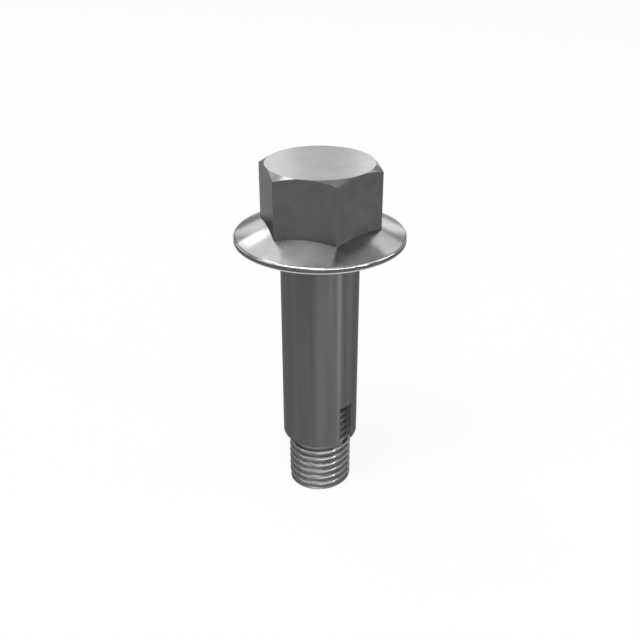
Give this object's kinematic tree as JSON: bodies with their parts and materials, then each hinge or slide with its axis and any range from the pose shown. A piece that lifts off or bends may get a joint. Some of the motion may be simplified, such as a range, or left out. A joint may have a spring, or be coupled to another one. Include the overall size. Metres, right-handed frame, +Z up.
{
  "type": "hex flange bolt",
  "caption": "Steel hex flange bolt: chamfered hexagon head on a broad conical flange, plain thick shoulder with a short keyway at its foot, and a finer threaded end.",
  "frame": {"origin": "centre of the threaded end's face, where the axis meets the floor", "axes": "+Z runs up the bolt's axis from the threaded end to the head; the keyway and one flat of the hexagon face +X; the picture looks from between +X and -Y"},
  "size_m": [0.0304, 0.0304, 0.0652],
  "materials": {
    "steel": "drawn and turned, bare"
  },
  "bodies": {
    "root": {"bolt": "steel"}
  },
  "joints": []
}
